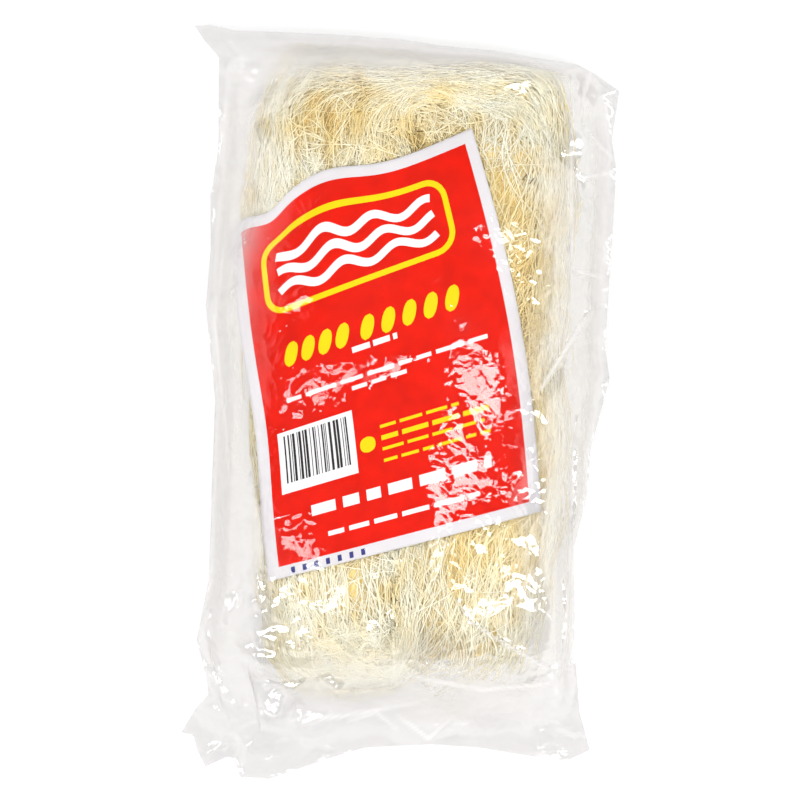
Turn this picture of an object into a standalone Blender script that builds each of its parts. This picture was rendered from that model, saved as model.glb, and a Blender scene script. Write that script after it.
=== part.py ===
"""A sealed clear bag of dried rice vermicelli, lying on its back with its paper label up.

The bag is one closed solid out to its film: the pillow that the noodle bundle fills, the thin
side fins and the loose flap at the foot. The label is a thin sheet under the film, so it lies
in a shallow seat whose rim is flush with its face. X is across the bag, Y along it, Z up.
"""

import math

import bpy
from mathutils import Matrix, Vector, noise

MM = 0.001

# The bag's outline, as plan points on its four edges, left to right or foot to head.
TOP_EDGE = [
    (-83.9, 146.9), (-77.6, 147.4), (-68.2, 145.7), (-31.5, 145.9), (-3.1, 145.1), (13.0, 143.3),
    (34.5, 142.2), (52.2, 140.0), (66.2, 138.4), (73.8, 134.7), (83.5, 128.6),
]
FOOT_EDGE = [
    (-76.5, -130.3), (-71.8, -130.9), (-69.9, -137.1), (-66.5, -143.2), (-58.2, -138.9), (-54.8, -139.3),
    (-53.0, -146.6), (-41.1, -146.7), (-32.9, -143.5), (-14.1, -136.1), (-4.7, -133.0), (21.3, -130.3),
    (39.9, -130.8), (61.5, -133.2), (75.3, -134.3), (83.9, -129.8),
]
LEFT_EDGE = [
    (-76.5, -130.3), (-71.5, -121.0), (-66.4, -114.6), (-67.7, -106.6), (-71.9, -93.5), (-68.3, -69.1),
    (-69.0, 0.7), (-74.2, 37.2), (-73.4, 59.1), (-74.5, 80.5), (-72.1, 99.3), (-73.5, 134.8),
    (-78.9, 140.5), (-83.9, 146.9),
]
RIGHT_EDGE = [
    (83.9, -129.8), (79.2, -115.5), (76.1, -92.6), (73.9, -50.6), (78.5, -27.7), (78.6, -11.7),
    (84.9, 15.9), (82.6, 29.1), (83.3, 70.1), (83.8, 98.1), (81.5, 109.9), (83.5, 128.6),
]
CELLS_ACROSS = 36
CELLS_ALONG = 62

# The bundle inside, which lifts the film.
BUNDLE_X = 4.2
BUNDLE_Y = 17.0
REACH_ACROSS = 78.0
REACH_HEAD = 127.0
REACH_FOOT = 139.0
ACROSS_POWER = 3.0
ALONG_POWER = 5.0
PILE_ABOVE = 32.0
PILE_BELOW = 27.0

# The film's fins and flap, as the height of their middle over the surface that the bag lies on.
FIN_HEIGHT = 13.0
FLAP_HEIGHT = 3.2
FLAP_FROM = -100.0
FLAP_TO = -136.0
EDGE_THICKNESS = 1.2
FLAP_WAVE = 1.3
FLAP_WAVE_LENGTH = 37.0
FIN_WAVE = 2.2
FIN_WAVE_LENGTH = 74.0
CRUMPLE = 2.0
CRUMPLE_LENGTH = 15.0
LUMP = 1.7
LUMP_LENGTH = 36.0
SHOULDER_DIP = 7.0
SHOULDER_X = -66.0
SHOULDER_Y = 84.0
SHOULDER_RADIUS = 21.0

# Long folds of the film: start x, start y, end x, end y, height, half width.
TOP_FOLDS = [
    (50.0, 128.0, 78.0, 104.0, 2.6, 7.0),
    (42.0, 131.0, 79.0, 134.0, 1.8, 6.0),
    (56.0, -4.0, 74.0, 30.0, 2.0, 6.0),
    (60.0, 6.0, 68.0, -112.0, 2.2, 6.5),
    (40.0, -34.0, 62.0, -50.0, 1.6, 6.0),
    (27.0, -70.0, 40.0, -112.0, 1.8, 6.0),
    (-36.0, -74.0, -66.0, -94.0, 2.6, 7.0),
    (-30.0, -82.0, -8.0, -100.0, 2.2, 7.0),
    (-66.0, 128.0, -80.0, 143.0, 1.8, 6.0),
    (-70.0, 118.0, -54.0, 100.0, 1.5, 6.0),
]
FLAP_FOLDS = [
    (-68.0, -96.0, -26.0, -104.0, 2.2, 6.0),
    (-64.0, -104.0, -44.0, -136.0, 2.6, 6.5),
    (-40.0, -112.0, -18.0, -128.0, 1.8, 6.0),
    (-4.0, -118.0, 14.0, -128.0, 2.4, 6.0),
    (14.0, -128.0, 26.0, -118.0, 2.4, 6.0),
    (30.0, -112.0, 66.0, -124.0, 1.8, 6.5),
    (60.0, -104.0, 80.0, -126.0, 2.0, 6.5),
]

# The paper label: its corners in plan, its thickness, and the gap that it keeps to the bag.
LABEL_HEAD_LEFT = (-66.6, 64.9)
LABEL_HEAD_RIGHT = (26.4, 110.7)
LABEL_FOOT_RIGHT = (60.2, -36.8)
LABEL_FOOT_LEFT = (-44.9, -68.9)
LABEL_TUCK = 5.0
LABEL_TUCK_AT = 0.16
LABEL_TUCK_WIDTH = 0.13
LABEL_THICKNESS = 0.5
LABEL_GAP = 0.35
LABEL_CELLS_ACROSS = 18
LABEL_CELLS_ALONG = 24
CUTTER_RISE = 9.0

BAG_COLOUR = (0.86, 0.84, 0.74, 1.0)
LABEL_COLOUR = (0.83, 0.03, 0.02, 1.0)


def clear_scene():
    for old in list(bpy.data.objects):
        bpy.data.objects.remove(old)


def smooth(low, high, value):
    """0 below low, 1 above high, and an S curve between them. High may be the smaller number."""
    share = min(1.0, max(0.0, (value - low) / (high - low)))
    return share * share * (3 - 2 * share)


def along(points, key, value):
    """The other coordinate of an edge at a value of coordinate number key."""
    other = 1 - key
    for first, second in zip(points, points[1:]):
        if value <= second[key]:
            share = (value - first[key]) / (second[key] - first[key])
            return first[other] + share * (second[other] - first[other])
    return points[-1][other]


def edge_point(points, key, share):
    """The point of an edge at a share of its span along coordinate number key."""
    value = points[0][key] + share * (points[-1][key] - points[0][key])
    other = along(points, key, value)
    return (value, other) if key == 0 else (other, value)


def bag_point(u, v):
    """The plan point at share u across and v along: a Coons patch between the four edges."""
    foot, top = edge_point(FOOT_EDGE, 0, u), edge_point(TOP_EDGE, 0, u)
    left, right = edge_point(LEFT_EDGE, 1, v), edge_point(RIGHT_EDGE, 1, v)
    corners = (FOOT_EDGE[0], FOOT_EDGE[-1], TOP_EDGE[0], TOP_EDGE[-1])
    shares = ((1 - u) * (1 - v), u * (1 - v), (1 - u) * v, u * v)
    point = []
    for axis in range(2):
        straight = sum(share * corner[axis] for share, corner in zip(shares, corners))
        ruled = (1 - v) * foot[axis] + v * top[axis] + (1 - u) * left[axis] + u * right[axis]
        point.append(ruled - straight)
    return point


def fullness(x, y):
    """How much of the bundle's height the film has at a plan point, from 0 at its edge to 1."""
    across = min(1.0, abs(x - BUNDLE_X) / REACH_ACROSS)
    reach = REACH_HEAD if y > BUNDLE_Y else REACH_FOOT
    lengthwise = min(1.0, abs(y - BUNDLE_Y) / reach)
    return (1 - across ** ACROSS_POWER) * (1 - lengthwise ** ALONG_POWER)


def fold_height(folds, x, y):
    """The rise that the long folds give a plan point: sharp along each line and gone at its ends."""
    rise = 0.0
    for x0, y0, x1, y1, height, half_width in folds:
        dx, dy = x1 - x0, y1 - y0
        length = math.hypot(dx, dy)
        share = ((x - x0) * dx + (y - y0) * dy) / length**2
        if not 0 < share < 1:
            continue
        away = abs((x - x0) * dy - (y - y0) * dx) / length
        rise += height * math.sin(math.pi * share) ** 0.5 * max(0.0, 1 - away / half_width)
    return rise


def crumple(x, y):
    """Sharp-crested creases of slack film, from about -0.5 to 1 times their depth."""
    crest = 1 - 3 * abs(noise.noise(Vector((x, y, 0.0)) / CRUMPLE_LENGTH))
    return CRUMPLE * max(-0.5, crest)


def middle_height(x, y):
    """The height of the middle between the film's two layers."""
    flap = smooth(FLAP_FROM, FLAP_TO, y)
    level = FIN_HEIGHT + flap * (FLAP_HEIGHT - FIN_HEIGHT)
    flap_wave = FLAP_WAVE * math.sin(2 * math.pi * (x + 0.4 * y) / FLAP_WAVE_LENGTH)
    fin_wave = FIN_WAVE * math.sin(2 * math.pi * (y + 0.3 * x) / FIN_WAVE_LENGTH)
    slack = 1 - fullness(x, y)
    wave = flap * flap_wave + (1 - flap) * slack * fin_wave
    return level + wave + slack**2 * crumple(x, y) + fold_height(FLAP_FOLDS, x, y)


def top_height(x, y):
    full = fullness(x, y)
    lump = LUMP * noise.noise(Vector((x, y, 0.0)) / LUMP_LENGTH)
    away = math.hypot(x - SHOULDER_X, y - SHOULDER_Y) / SHOULDER_RADIUS
    dip = SHOULDER_DIP * math.exp(-away * away)
    rise = full * (PILE_ABOVE + 2 * lump) - full ** 0.5 * dip
    return middle_height(x, y) + EDGE_THICKNESS / 2 + max(0.0, rise) + fold_height(TOP_FOLDS, x, y)


def under_height(x, y):
    """The underside, pressed flat where the bundle rests."""
    return max(0.0, middle_height(x, y) - EDGE_THICKNESS / 2 - PILE_BELOW * fullness(x, y))


def label_point(p, q):
    """The plan point of the label at share p across and q up: its corner is tucked round the bundle."""
    point = []
    for axis in range(2):
        foot = LABEL_FOOT_LEFT[axis] * (1 - p) + LABEL_FOOT_RIGHT[axis] * p
        head = LABEL_HEAD_LEFT[axis] * (1 - p) + LABEL_HEAD_RIGHT[axis] * p
        point.append(foot * (1 - q) + head * q)
    bend = math.exp(-(((p - LABEL_TUCK_AT) / LABEL_TUCK_WIDTH) ** 2)) * smooth(0.55, 1.0, q)
    return point[0], point[1] - LABEL_TUCK * bend


def sheet_mesh(name, columns, rows, plan, over, under):
    """A closed solid over a grid of plan points, between two height functions."""
    plans = [plan(i, j) for j in range(rows + 1) for i in range(columns + 1)]
    tops = [Vector((x, y, over(x, y))) * MM for x, y in plans]
    unders = [Vector((x, y, under(x, y))) * MM for x, y in plans]
    count, width = len(plans), columns + 1
    faces = []
    for j in range(rows):
        for i in range(columns):
            a = j * width + i
            b, c, d = a + 1, a + width + 1, a + width
            faces.append((a, b, c))
            faces.append((a, c, d))
            faces.append((a + count, c + count, b + count))
            faces.append((a + count, d + count, c + count))
    foot = list(range(width))
    right = [j * width + columns for j in range(1, rows + 1)]
    head = [rows * width + i for i in range(columns - 1, -1, -1)]
    left = [j * width for j in range(rows - 1, 0, -1)]
    rim = foot + right + head + left
    for a, b in zip(rim, rim[1:] + rim[:1]):
        faces.append((a, a + count, b + count, b))
    mesh = bpy.data.meshes.new(name)
    mesh.from_pydata(tops + unders, [], faces)
    mesh.update()
    return mesh


def material(name, colour, roughness):
    made = bpy.data.materials.new(name)
    made.use_nodes = True
    shader = made.node_tree.nodes["Principled BSDF"]
    shader.inputs["Base Color"].default_value = colour
    shader.inputs["Roughness"].default_value = roughness
    shader.inputs["Metallic"].default_value = 0.0
    return made


def add_object(name, mesh, finish=None):
    made = bpy.data.objects.new(name, mesh)
    bpy.context.scene.collection.objects.link(made)
    if finish:
        mesh.materials.append(finish)
        mesh.shade_smooth()
    return made


def make_label():
    def plan(i, j):
        return label_point(i / LABEL_CELLS_ACROSS, j / LABEL_CELLS_ALONG)

    mesh = sheet_mesh(
        "paper_label",
        LABEL_CELLS_ACROSS,
        LABEL_CELLS_ALONG,
        plan,
        top_height,
        lambda x, y: top_height(x, y) - LABEL_THICKNESS,
    )
    return add_object("paper_label", mesh, material("label_paper", LABEL_COLOUR, 0.45))


def make_seat_cutter():
    """The space that the label lies in: the label grown by its gap, and open above."""
    label_width = math.dist(LABEL_FOOT_LEFT, LABEL_FOOT_RIGHT)
    label_length = math.dist(LABEL_FOOT_RIGHT, LABEL_HEAD_RIGHT)

    def grown(index, cells, size):
        share = index / cells
        if index == 0:
            share -= LABEL_GAP / size
        if index == cells:
            share += LABEL_GAP / size
        return share

    def plan(i, j):
        return label_point(
            grown(i, LABEL_CELLS_ACROSS, label_width), grown(j, LABEL_CELLS_ALONG, label_length)
        )

    depth = LABEL_THICKNESS + LABEL_GAP
    mesh = sheet_mesh(
        "seat_cutter",
        LABEL_CELLS_ACROSS,
        LABEL_CELLS_ALONG,
        plan,
        lambda x, y: top_height(x, y) + CUTTER_RISE,
        lambda x, y: top_height(x, y) - depth,
    )
    cutter = add_object("seat_cutter", mesh)
    cutter.hide_render = True
    cutter.display_type = "WIRE"
    return cutter


def make_bag(cutter):
    mesh = sheet_mesh(
        "noodle_bag",
        CELLS_ACROSS,
        CELLS_ALONG,
        lambda i, j: bag_point(i / CELLS_ACROSS, j / CELLS_ALONG),
        top_height,
        under_height,
    )
    bag = add_object("noodle_bag", mesh, material("clear_film", BAG_COLOUR, 0.15))
    seat = bag.modifiers.new("label_seat", "BOOLEAN")
    seat.operation = "DIFFERENCE"
    seat.object = cutter
    return bag


def centre_in_plan(bag, others):
    """Puts the origin under the middle of the bag's box."""
    spans = [[vertex.co[axis] for vertex in bag.data.vertices] for axis in range(2)]
    middle = [(min(span) + max(span)) / 2 for span in spans]
    shift = Matrix.Translation((-middle[0], -middle[1], 0.0))
    for each in [bag, *others]:
        each.data.transform(shift)


def main():
    clear_scene()
    label = make_label()
    cutter = make_seat_cutter()
    bag = make_bag(cutter)
    centre_in_plan(bag, [label, cutter])


main()
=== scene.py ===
"""Looks of a sealed clear bag of dried rice vermicelli, with its loose paper label under the film.

Sizes are in millimetres until a mesh is made. X is across the bag, Y along it towards its head,
and Z up. The bag lies on its back and the camera looks straight down on it.
"""

import math

import bpy
import numpy as np
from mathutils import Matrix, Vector
from mathutils.bvhtree import BVHTree


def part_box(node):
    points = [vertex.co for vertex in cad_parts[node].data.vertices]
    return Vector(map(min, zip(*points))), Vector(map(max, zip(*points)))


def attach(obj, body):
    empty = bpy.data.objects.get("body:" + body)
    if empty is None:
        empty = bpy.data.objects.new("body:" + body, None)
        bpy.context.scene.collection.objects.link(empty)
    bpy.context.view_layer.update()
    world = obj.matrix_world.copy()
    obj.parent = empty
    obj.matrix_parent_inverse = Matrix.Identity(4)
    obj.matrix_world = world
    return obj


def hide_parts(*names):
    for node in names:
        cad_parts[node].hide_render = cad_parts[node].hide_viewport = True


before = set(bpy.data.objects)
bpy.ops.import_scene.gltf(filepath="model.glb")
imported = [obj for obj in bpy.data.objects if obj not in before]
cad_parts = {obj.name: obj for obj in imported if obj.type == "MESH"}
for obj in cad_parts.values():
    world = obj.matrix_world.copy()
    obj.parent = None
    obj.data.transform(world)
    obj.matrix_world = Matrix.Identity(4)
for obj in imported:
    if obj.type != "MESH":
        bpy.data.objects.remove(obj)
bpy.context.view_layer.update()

MM = 0.001

# Camera: straight above, turned a little, framing the bag as the photo does.
CAMERA_TURN = 2.6
AIM_X = 2.8
AIM_Y = 3.65
AIM_HEIGHT = 24
CAMERA_DISTANCE = 3000
VIEW_WIDTH = 312
SENSOR_WIDTH = 36

# The bag's outline, as plan points on its four edges, left to right or foot to head.
TOP_EDGE = [
    (-83.9, 146.9), (-77.6, 147.4), (-68.2, 145.7), (-31.5, 145.9), (-3.1, 145.1), (13, 143.3),
    (34.5, 142.2), (52.2, 140), (66.2, 138.4), (73.8, 134.7), (83.5, 128.6),
]
FOOT_EDGE = [
    (-76.5, -130.3), (-71.8, -130.9), (-69.9, -137.1), (-66.5, -143.2), (-58.2, -138.9), (-54.8, -139.3),
    (-53, -146.6), (-41.1, -146.7), (-32.9, -143.5), (-14.1, -136.1), (-4.7, -133), (21.3, -130.3),
    (39.9, -130.8), (61.5, -133.2), (75.3, -134.3), (83.9, -129.8),
]
LEFT_EDGE = [
    (-76.5, -130.3), (-71.5, -121), (-66.4, -114.6), (-67.7, -106.6), (-71.9, -93.5), (-68.3, -69.1),
    (-69, 0.7), (-74.2, 37.2), (-73.4, 59.1), (-74.5, 80.5), (-72.1, 99.3), (-73.5, 134.8),
    (-78.9, 140.5), (-83.9, 146.9),
]
RIGHT_EDGE = [
    (83.9, -129.8), (79.2, -115.5), (76.1, -92.6), (73.9, -50.6), (78.5, -27.7), (78.6, -11.7),
    (84.9, 15.9), (82.6, 29.1), (83.3, 70.1), (83.8, 98.1), (81.5, 109.9), (83.5, 128.6),
]
OUTLINE = np.array(TOP_EDGE + FOOT_EDGE + LEFT_EDGE + RIGHT_EDGE)
OUTLINE_MIDDLE = (OUTLINE.min(axis=0) + OUTLINE.max(axis=0)) / 2

# The film's grid, the map of the solids' heights and its smoothing, the rim and the gaps left there.
FILM_COLUMNS = 160
FILM_ROWS = 270
MAP_STEP = 1
MAP_SMOOTHING = 1.8
RIM_SMOOTHING = 4
RIM_WIDTH = 9
FLOOR_GAP = 0.12
LAYER_GAP = 0.2

# The bundle: its middle, half sizes, roundness, and the room that it leaves under the film.
BUNDLE_X = 3.7
BUNDLE_Y = 16.6
BUNDLE_HALF_WIDTH = 63.5
BUNDLE_HALF_LENGTH = 126
LEFT_NARROWING = 8
BUNDLE_MIDDLE = 14
PLAN_POWER = 5
EDGE_POWER = 3
ROOM_ABOVE = 1.6
ROOM_BELOW = 0.5

# The label: its corners in plan, its flat size, and how far it and the noodles under it lie deeper.
LABEL_HEAD_LEFT = (-66.6, 64.9)
LABEL_HEAD_RIGHT = (26.4, 110.7)
LABEL_FOOT_RIGHT = (60.2, -36.8)
LABEL_FOOT_LEFT = (-44.9, -68.9)
LABEL_WIDE = 110
LABEL_LONG = 152
LABEL_DEPTH = 1.2
LABEL_SINK = 2.8

# The bends of the label's head and left edge, each a rise, its place and its spread, and of the right.
HEAD_BENDS = [(9, 0.36, 0.22), (2.5, 0.06, 0.05), (-2, 0.18, 0.05)]
HEAD_BENDS_FROM = 0.72
LEFT_BEND = (1.8, 0.42, 0.2)
RIGHT_BEND = 5.2
PAPER_THICKNESS = 0.12
INK_STEP = 0.03
PRINT_CELL = 1


def smooth(low, high, value):
    """0 below low, 1 above high, and an S curve between them. High may be the smaller number."""
    share = np.clip((value - low) / (high - low), 0, 1)
    return share * share * (3 - 2 * share)


class Noise:
    """Smooth gradient noise over the plane, from about -0.7 to 0.7, the same for each seed."""

    SIZE = 64

    def __init__(self, seed):
        angles = np.random.default_rng(seed).uniform(0, 2 * math.pi, (self.SIZE, self.SIZE))
        self.slope_x, self.slope_y = np.cos(angles), np.sin(angles)

    def __call__(self, x, y):
        x, y = np.broadcast_arrays(x, y)
        column, row = np.floor(x).astype(int), np.floor(y).astype(int)
        dx, dy = x - column, y - row

        def corner(i, j):
            a, b = (row + j) % self.SIZE, (column + i) % self.SIZE
            return self.slope_x[a, b] * (dx - i) + self.slope_y[a, b] * (dy - j)

        ease_x = dx**3 * (dx * (6 * dx - 15) + 10)
        ease_y = dy**3 * (dy * (6 * dy - 15) + 10)
        low = corner(0, 0) + ease_x * (corner(1, 0) - corner(0, 0))
        high = corner(0, 1) + ease_x * (corner(1, 1) - corner(0, 1))
        return low + ease_y * (high - low)


class HeightMap:
    """Heights on a square grid over the plan, read between its points."""

    def __init__(self, x0, y0, heights):
        self.x0, self.y0, self.heights = x0, y0, heights

    def __call__(self, x, y):
        rows, columns = self.heights.shape
        across = np.clip((x - self.x0) / MAP_STEP, 0, columns - 1.001)
        along = np.clip((y - self.y0) / MAP_STEP, 0, rows - 1.001)
        i, j = across.astype(int), along.astype(int)
        a, b = across - i, along - j
        low = self.heights[j, i] * (1 - a) + self.heights[j, i + 1] * a
        high = self.heights[j + 1, i] * (1 - a) + self.heights[j + 1, i + 1] * a
        return low * (1 - b) + high * b


def blurred(grid, spread):
    """A grid blurred both ways by a bell curve, spread in cells."""
    reach = int(3 * spread) + 1
    bell = np.exp(-0.5 * (np.arange(-reach, reach + 1) / spread) ** 2)
    bell /= bell.sum()
    for axis in (1, 0):
        grid = np.apply_along_axis(np.convolve, axis, grid, bell, mode="same")
    return grid


def bag_heights():
    """Maps from the solids: the bag's upper and under side, where the label lies, and the bag's inside."""
    depsgraph = bpy.context.evaluated_depsgraph_get()
    trees = [BVHTree.FromObject(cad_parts[name], depsgraph) for name in ("noodle_bag", "paper_label")]
    low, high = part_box("noodle_bag")
    xs = np.arange(low.x / MM - 2, high.x / MM + 3, MAP_STEP)
    ys = np.arange(low.y / MM - 2, high.y / MM + 3, MAP_STEP)
    above, below = Vector((0, 0, 1)), Vector((0, 0, -1))
    grids = np.zeros((4, len(ys), len(xs)))
    for j, y in enumerate(ys):
        for i, x in enumerate(xs):
            under = trees[0].ray_cast(Vector((x * MM, y * MM, -1)), above)[0]
            if under is None:
                continue
            hits = [tree.ray_cast(Vector((x * MM, y * MM, 1)), below)[0] for tree in trees]
            top = max(hit.z for hit in hits if hit is not None)
            grids[:, j, i] = top / MM, under.z / MM, hits[1] is not None, 1
    inside = grids[3]
    weight = np.maximum(blurred(inside, MAP_SMOOTHING), 1e-6)
    soft = [blurred(grid, MAP_SMOOTHING) / weight for grid in grids[:3]]
    soft.append(blurred(inside, RIM_SMOOTHING))
    return [HeightMap(xs[0], ys[0], grid) for grid in soft]


TOP_MAP, UNDER_MAP, LABEL_MAP, INSIDE_MAP = bag_heights()


def linked_object(name, data):
    made = bpy.data.objects.new(name, data)
    bpy.context.scene.collection.objects.link(made)
    return made


def new_object(name, mesh, finish):
    mesh.materials.append(finish)
    return linked_object(name, mesh)


def mesh_from_arrays(name, points, faces):
    """A mesh from points in millimetres and arrays of faces, each with one number of corners."""
    mesh = bpy.data.meshes.new(name)
    counts = np.concatenate([np.full(len(group), group.shape[1]) for group in faces])
    corners = np.concatenate([group.ravel() for group in faces])
    mesh.vertices.add(len(points))
    mesh.vertices.foreach_set("co", (np.asarray(points, np.float32) * MM).ravel())
    mesh.loops.add(len(corners))
    mesh.loops.foreach_set("vertex_index", corners.astype(np.int32))
    mesh.polygons.add(len(counts))
    starts = np.concatenate([[0], np.cumsum(counts)[:-1]])
    mesh.polygons.foreach_set("loop_start", starts.astype(np.int32))
    mesh.update(calc_edges=True)
    mesh.shade_smooth()
    return mesh


def numbered(*shape):
    """The numbers of the points of a grid."""
    return np.arange(math.prod(shape)).reshape(shape)


def joined(numbers, axis=-1):
    """Point numbers with the first ones again at the end of an axis, so that it closes."""
    return np.concatenate([numbers, numbers.take([0], axis)], axis)


def quads_between(numbers):
    """Faces between points numbered along the last two axes, facing up where the grid runs by X and Y."""
    near, far = numbers[..., :-1, :], numbers[..., 1:, :]
    return np.stack([near[..., :-1], near[..., 1:], far[..., 1:], far[..., :-1]], axis=-1).reshape(-1, 4)


def point_rows(x, y, z):
    """The points of a grid, row by row, from its arrays of x, y and z."""
    return np.stack([x, y, z], axis=-1).reshape(-1, 3)


def unit(vectors):
    """Vectors with their length made 1."""
    return vectors / np.maximum(np.linalg.norm(vectors, axis=-1, keepdims=True), 1e-9)


def set_point_values(mesh, name, values):
    """Gives each point of a mesh a value that its material reads by name."""
    kept = mesh.attributes.new(name, "FLOAT", "POINT")
    kept.data.foreach_set("value", values.astype(np.float32))


# Materials


def shader_of(name, colour, roughness):
    """A new material, its node tree and its shader, with the values that are the same all over."""
    made = bpy.data.materials.new(name)
    made.use_nodes = True
    tree = made.node_tree
    shader = tree.nodes["Principled BSDF"]
    shader.inputs["Base Color"].default_value = (*colour, 1)
    shader.inputs["Roughness"].default_value = roughness
    return made, tree, shader


def set_input(tree, socket, value):
    """Sets an input to a value, or links it where the value is another node's socket."""
    if isinstance(value, bpy.types.NodeSocket):
        tree.links.new(value, socket)
    else:
        socket.default_value = value


def new_node(tree, kind, **values):
    """A new node, with values or sockets for its inputs by name."""
    made = tree.nodes.new(kind)
    for name, value in values.items():
        set_input(tree, made.inputs[name], value)
    return made


def calculated(tree, kind, operation, *values):
    """A new node for sums, with values or sockets for its inputs in their order."""
    made = tree.nodes.new(kind)
    made.operation = operation
    for socket, value in zip(made.inputs, values):
        set_input(tree, socket, value)
    return made


def math_node(tree, operation, *values):
    """A sum on numbers or sockets, kept from 0 to 1."""
    made = calculated(tree, "ShaderNodeMath", operation, *values)
    made.use_clamp = True
    return made.outputs["Value"]


def noise_node(tree, scale, detail=3, stretch=(1, 1, 1)):
    """Noise over the object, with scale in waves a metre and its own stretch along X, Y and Z."""
    place = new_node(tree, "ShaderNodeTexCoord").outputs["Object"]
    place = new_node(tree, "ShaderNodeMapping", Vector=place, Scale=stretch).outputs["Vector"]
    return new_node(tree, "ShaderNodeTexNoise", Vector=place, Scale=scale, Detail=detail).outputs["Fac"]


def ramp_node(tree, factor, stops, target):
    """Colours at shares of a factor, led to a target socket."""
    ramp = new_node(tree, "ShaderNodeValToRGB", Fac=factor)
    elements = ramp.color_ramp.elements
    while len(elements) < len(stops):
        elements.new(0.5)
    for element, (position, colour) in zip(elements, stops):
        element.position = position
        element.color = (*colour, 1)
    tree.links.new(ramp.outputs["Color"], target)


def attribute_node(tree, name):
    node = tree.nodes.new("ShaderNodeAttribute")
    node.attribute_name = name
    return node.outputs["Fac"]


def bump_node(tree, shader, height, distance, strength=1):
    bump = new_node(tree, "ShaderNodeBump", Strength=strength, Distance=distance * MM, Height=height)
    tree.links.new(bump.outputs["Normal"], shader.inputs["Normal"])


CRINKLE_STRAY = 12
CRINKLE_STRAY_SCALE = 0.4


def crinkle_node(tree, scale):
    """Small creased cells over the object, with scale in cells a metre, strayed from a plain pattern."""
    place = new_node(tree, "ShaderNodeTexCoord").outputs["Object"]
    stray = new_node(tree, "ShaderNodeTexNoise", Vector=place, Scale=scale * CRINKLE_STRAY_SCALE)
    values = (stray.outputs["Color"], (CRINKLE_STRAY * MM,) * 3, place)
    place = calculated(tree, "ShaderNodeVectorMath", "MULTIPLY_ADD", *values).outputs["Vector"]
    return new_node(tree, "ShaderNodeTexVoronoi", Vector=place, Scale=scale).outputs["Distance"]


# The film by its haze, clear at 0, milky at 1 and white at 2 along a crease with a painted highlight: its
# colour, its mirror and its body.
CLEAR_COLOUR = (0.93, 0.92, 0.915)
MILKY_COLOUR = (0.70, 0.684, 0.68)
CREASE_SHEEN_COLOUR = (0.96, 0.955, 0.95)
CLEAR_MIRROR = 0.95
MILKY_DULLING = 0.9
CLEAR_BODY = 0.02
CLOUDY_BODY = 0.04
MILKY_BODY = 0.6
EDGE_BODY = 0.15


def film_material():
    """Clear film: see-through and mirror-like over the noodles, milky where it has come away, and white
    along creases with a painted highlight.
    """
    made, tree, shader = shader_of("clear_film_finish", CLEAR_COLOUR, 0.07)
    haze = attribute_node(tree, "haze")
    # The crease stop is the film's whitening with a painted highlight along the folds.
    shades = [(0, CLEAR_COLOUR), (0.5, MILKY_COLOUR), (1, CREASE_SHEEN_COLOUR)]
    ramp_node(tree, math_node(tree, "MULTIPLY", haze, 0.5), shades, shader.inputs["Base Color"])
    milk = math_node(tree, "MINIMUM", haze, 1)
    mirror = math_node(tree, "SUBTRACT", CLEAR_MIRROR, math_node(tree, "MULTIPLY", milk, MILKY_DULLING))
    tree.links.new(mirror, shader.inputs["Metallic"])
    facing = new_node(tree, "ShaderNodeLayerWeight", Blend=0.25)
    edge = math_node(tree, "MULTIPLY", facing.outputs["Fresnel"], EDGE_BODY)
    body = math_node(tree, "MULTIPLY_ADD", noise_node(tree, 60, 5), CLOUDY_BODY, CLEAR_BODY)
    body = math_node(tree, "MULTIPLY_ADD", milk, MILKY_BODY, body)
    tree.links.new(math_node(tree, "ADD", body, edge), shader.inputs["Alpha"])
    crinkle = math_node(tree, "MULTIPLY", crinkle_node(tree, 210), noise_node(tree, 45, 1))
    bump_node(tree, shader, crinkle, 0.6, 0.9)
    return made


def noodle_material():
    """Dried rice noodle: cream white, each strand a little lighter or more amber than the next, and painted
    more amber the deeper it lies, as shade for the light filtered through the strands above.
    """
    made, tree, shader = shader_of("rice_noodle_finish", (0.92, 0.86, 0.68), 0.5)
    shader.inputs["Specular IOR Level"].default_value = 0.25
    tone = attribute_node(tree, "tone")
    patch = math_node(tree, "MULTIPLY", noise_node(tree, 90, 3), 0.5)
    mixed = math_node(tree, "MULTIPLY_ADD", tone, 0.75, patch)
    # The amber end of the ramp is reached through depth: painted shade of the deep strands.
    amber, straw = (0, (0.93, 0.68, 0.23)), (0.35, (0.94, 0.80, 0.45))
    cream, white = (0.7, (0.94, 0.88, 0.67)), (1, (0.94, 0.925, 0.79))
    ramp_node(tree, mixed, [amber, straw, cream, white], shader.inputs["Base Color"])
    bump_node(tree, shader, noise_node(tree, 1800, 2), 0.05, 0.4)
    return made


def mottled_material(name, colour, roughness, noise, stops):
    """A material coloured by noise: what shader_of returns, and the noise."""
    made, tree, shader = shader_of(name, colour, roughness)
    mottle = noise_node(tree, *noise)
    ramp_node(tree, mottle, stops, shader.inputs["Base Color"])
    return made, tree, shader, mottle


def core_material():
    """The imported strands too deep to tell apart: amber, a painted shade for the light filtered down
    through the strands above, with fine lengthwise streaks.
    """
    # Amber stops: painted shade of the bundle's depth.
    stops = [(0.3, (0.84, 0.61, 0.19)), (0.5, (0.91, 0.73, 0.31)), (0.7, (0.94, 0.83, 0.48))]
    noise = (900, 3, (1, 0.12, 1))
    looks = ("bundle_depth_shade_finish", (0.8, 0.6, 0.28), 0.5, noise, stops)
    made, tree, shader, streaks = mottled_material(*looks)
    bump_node(tree, shader, streaks, 0.8)
    return made


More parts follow.
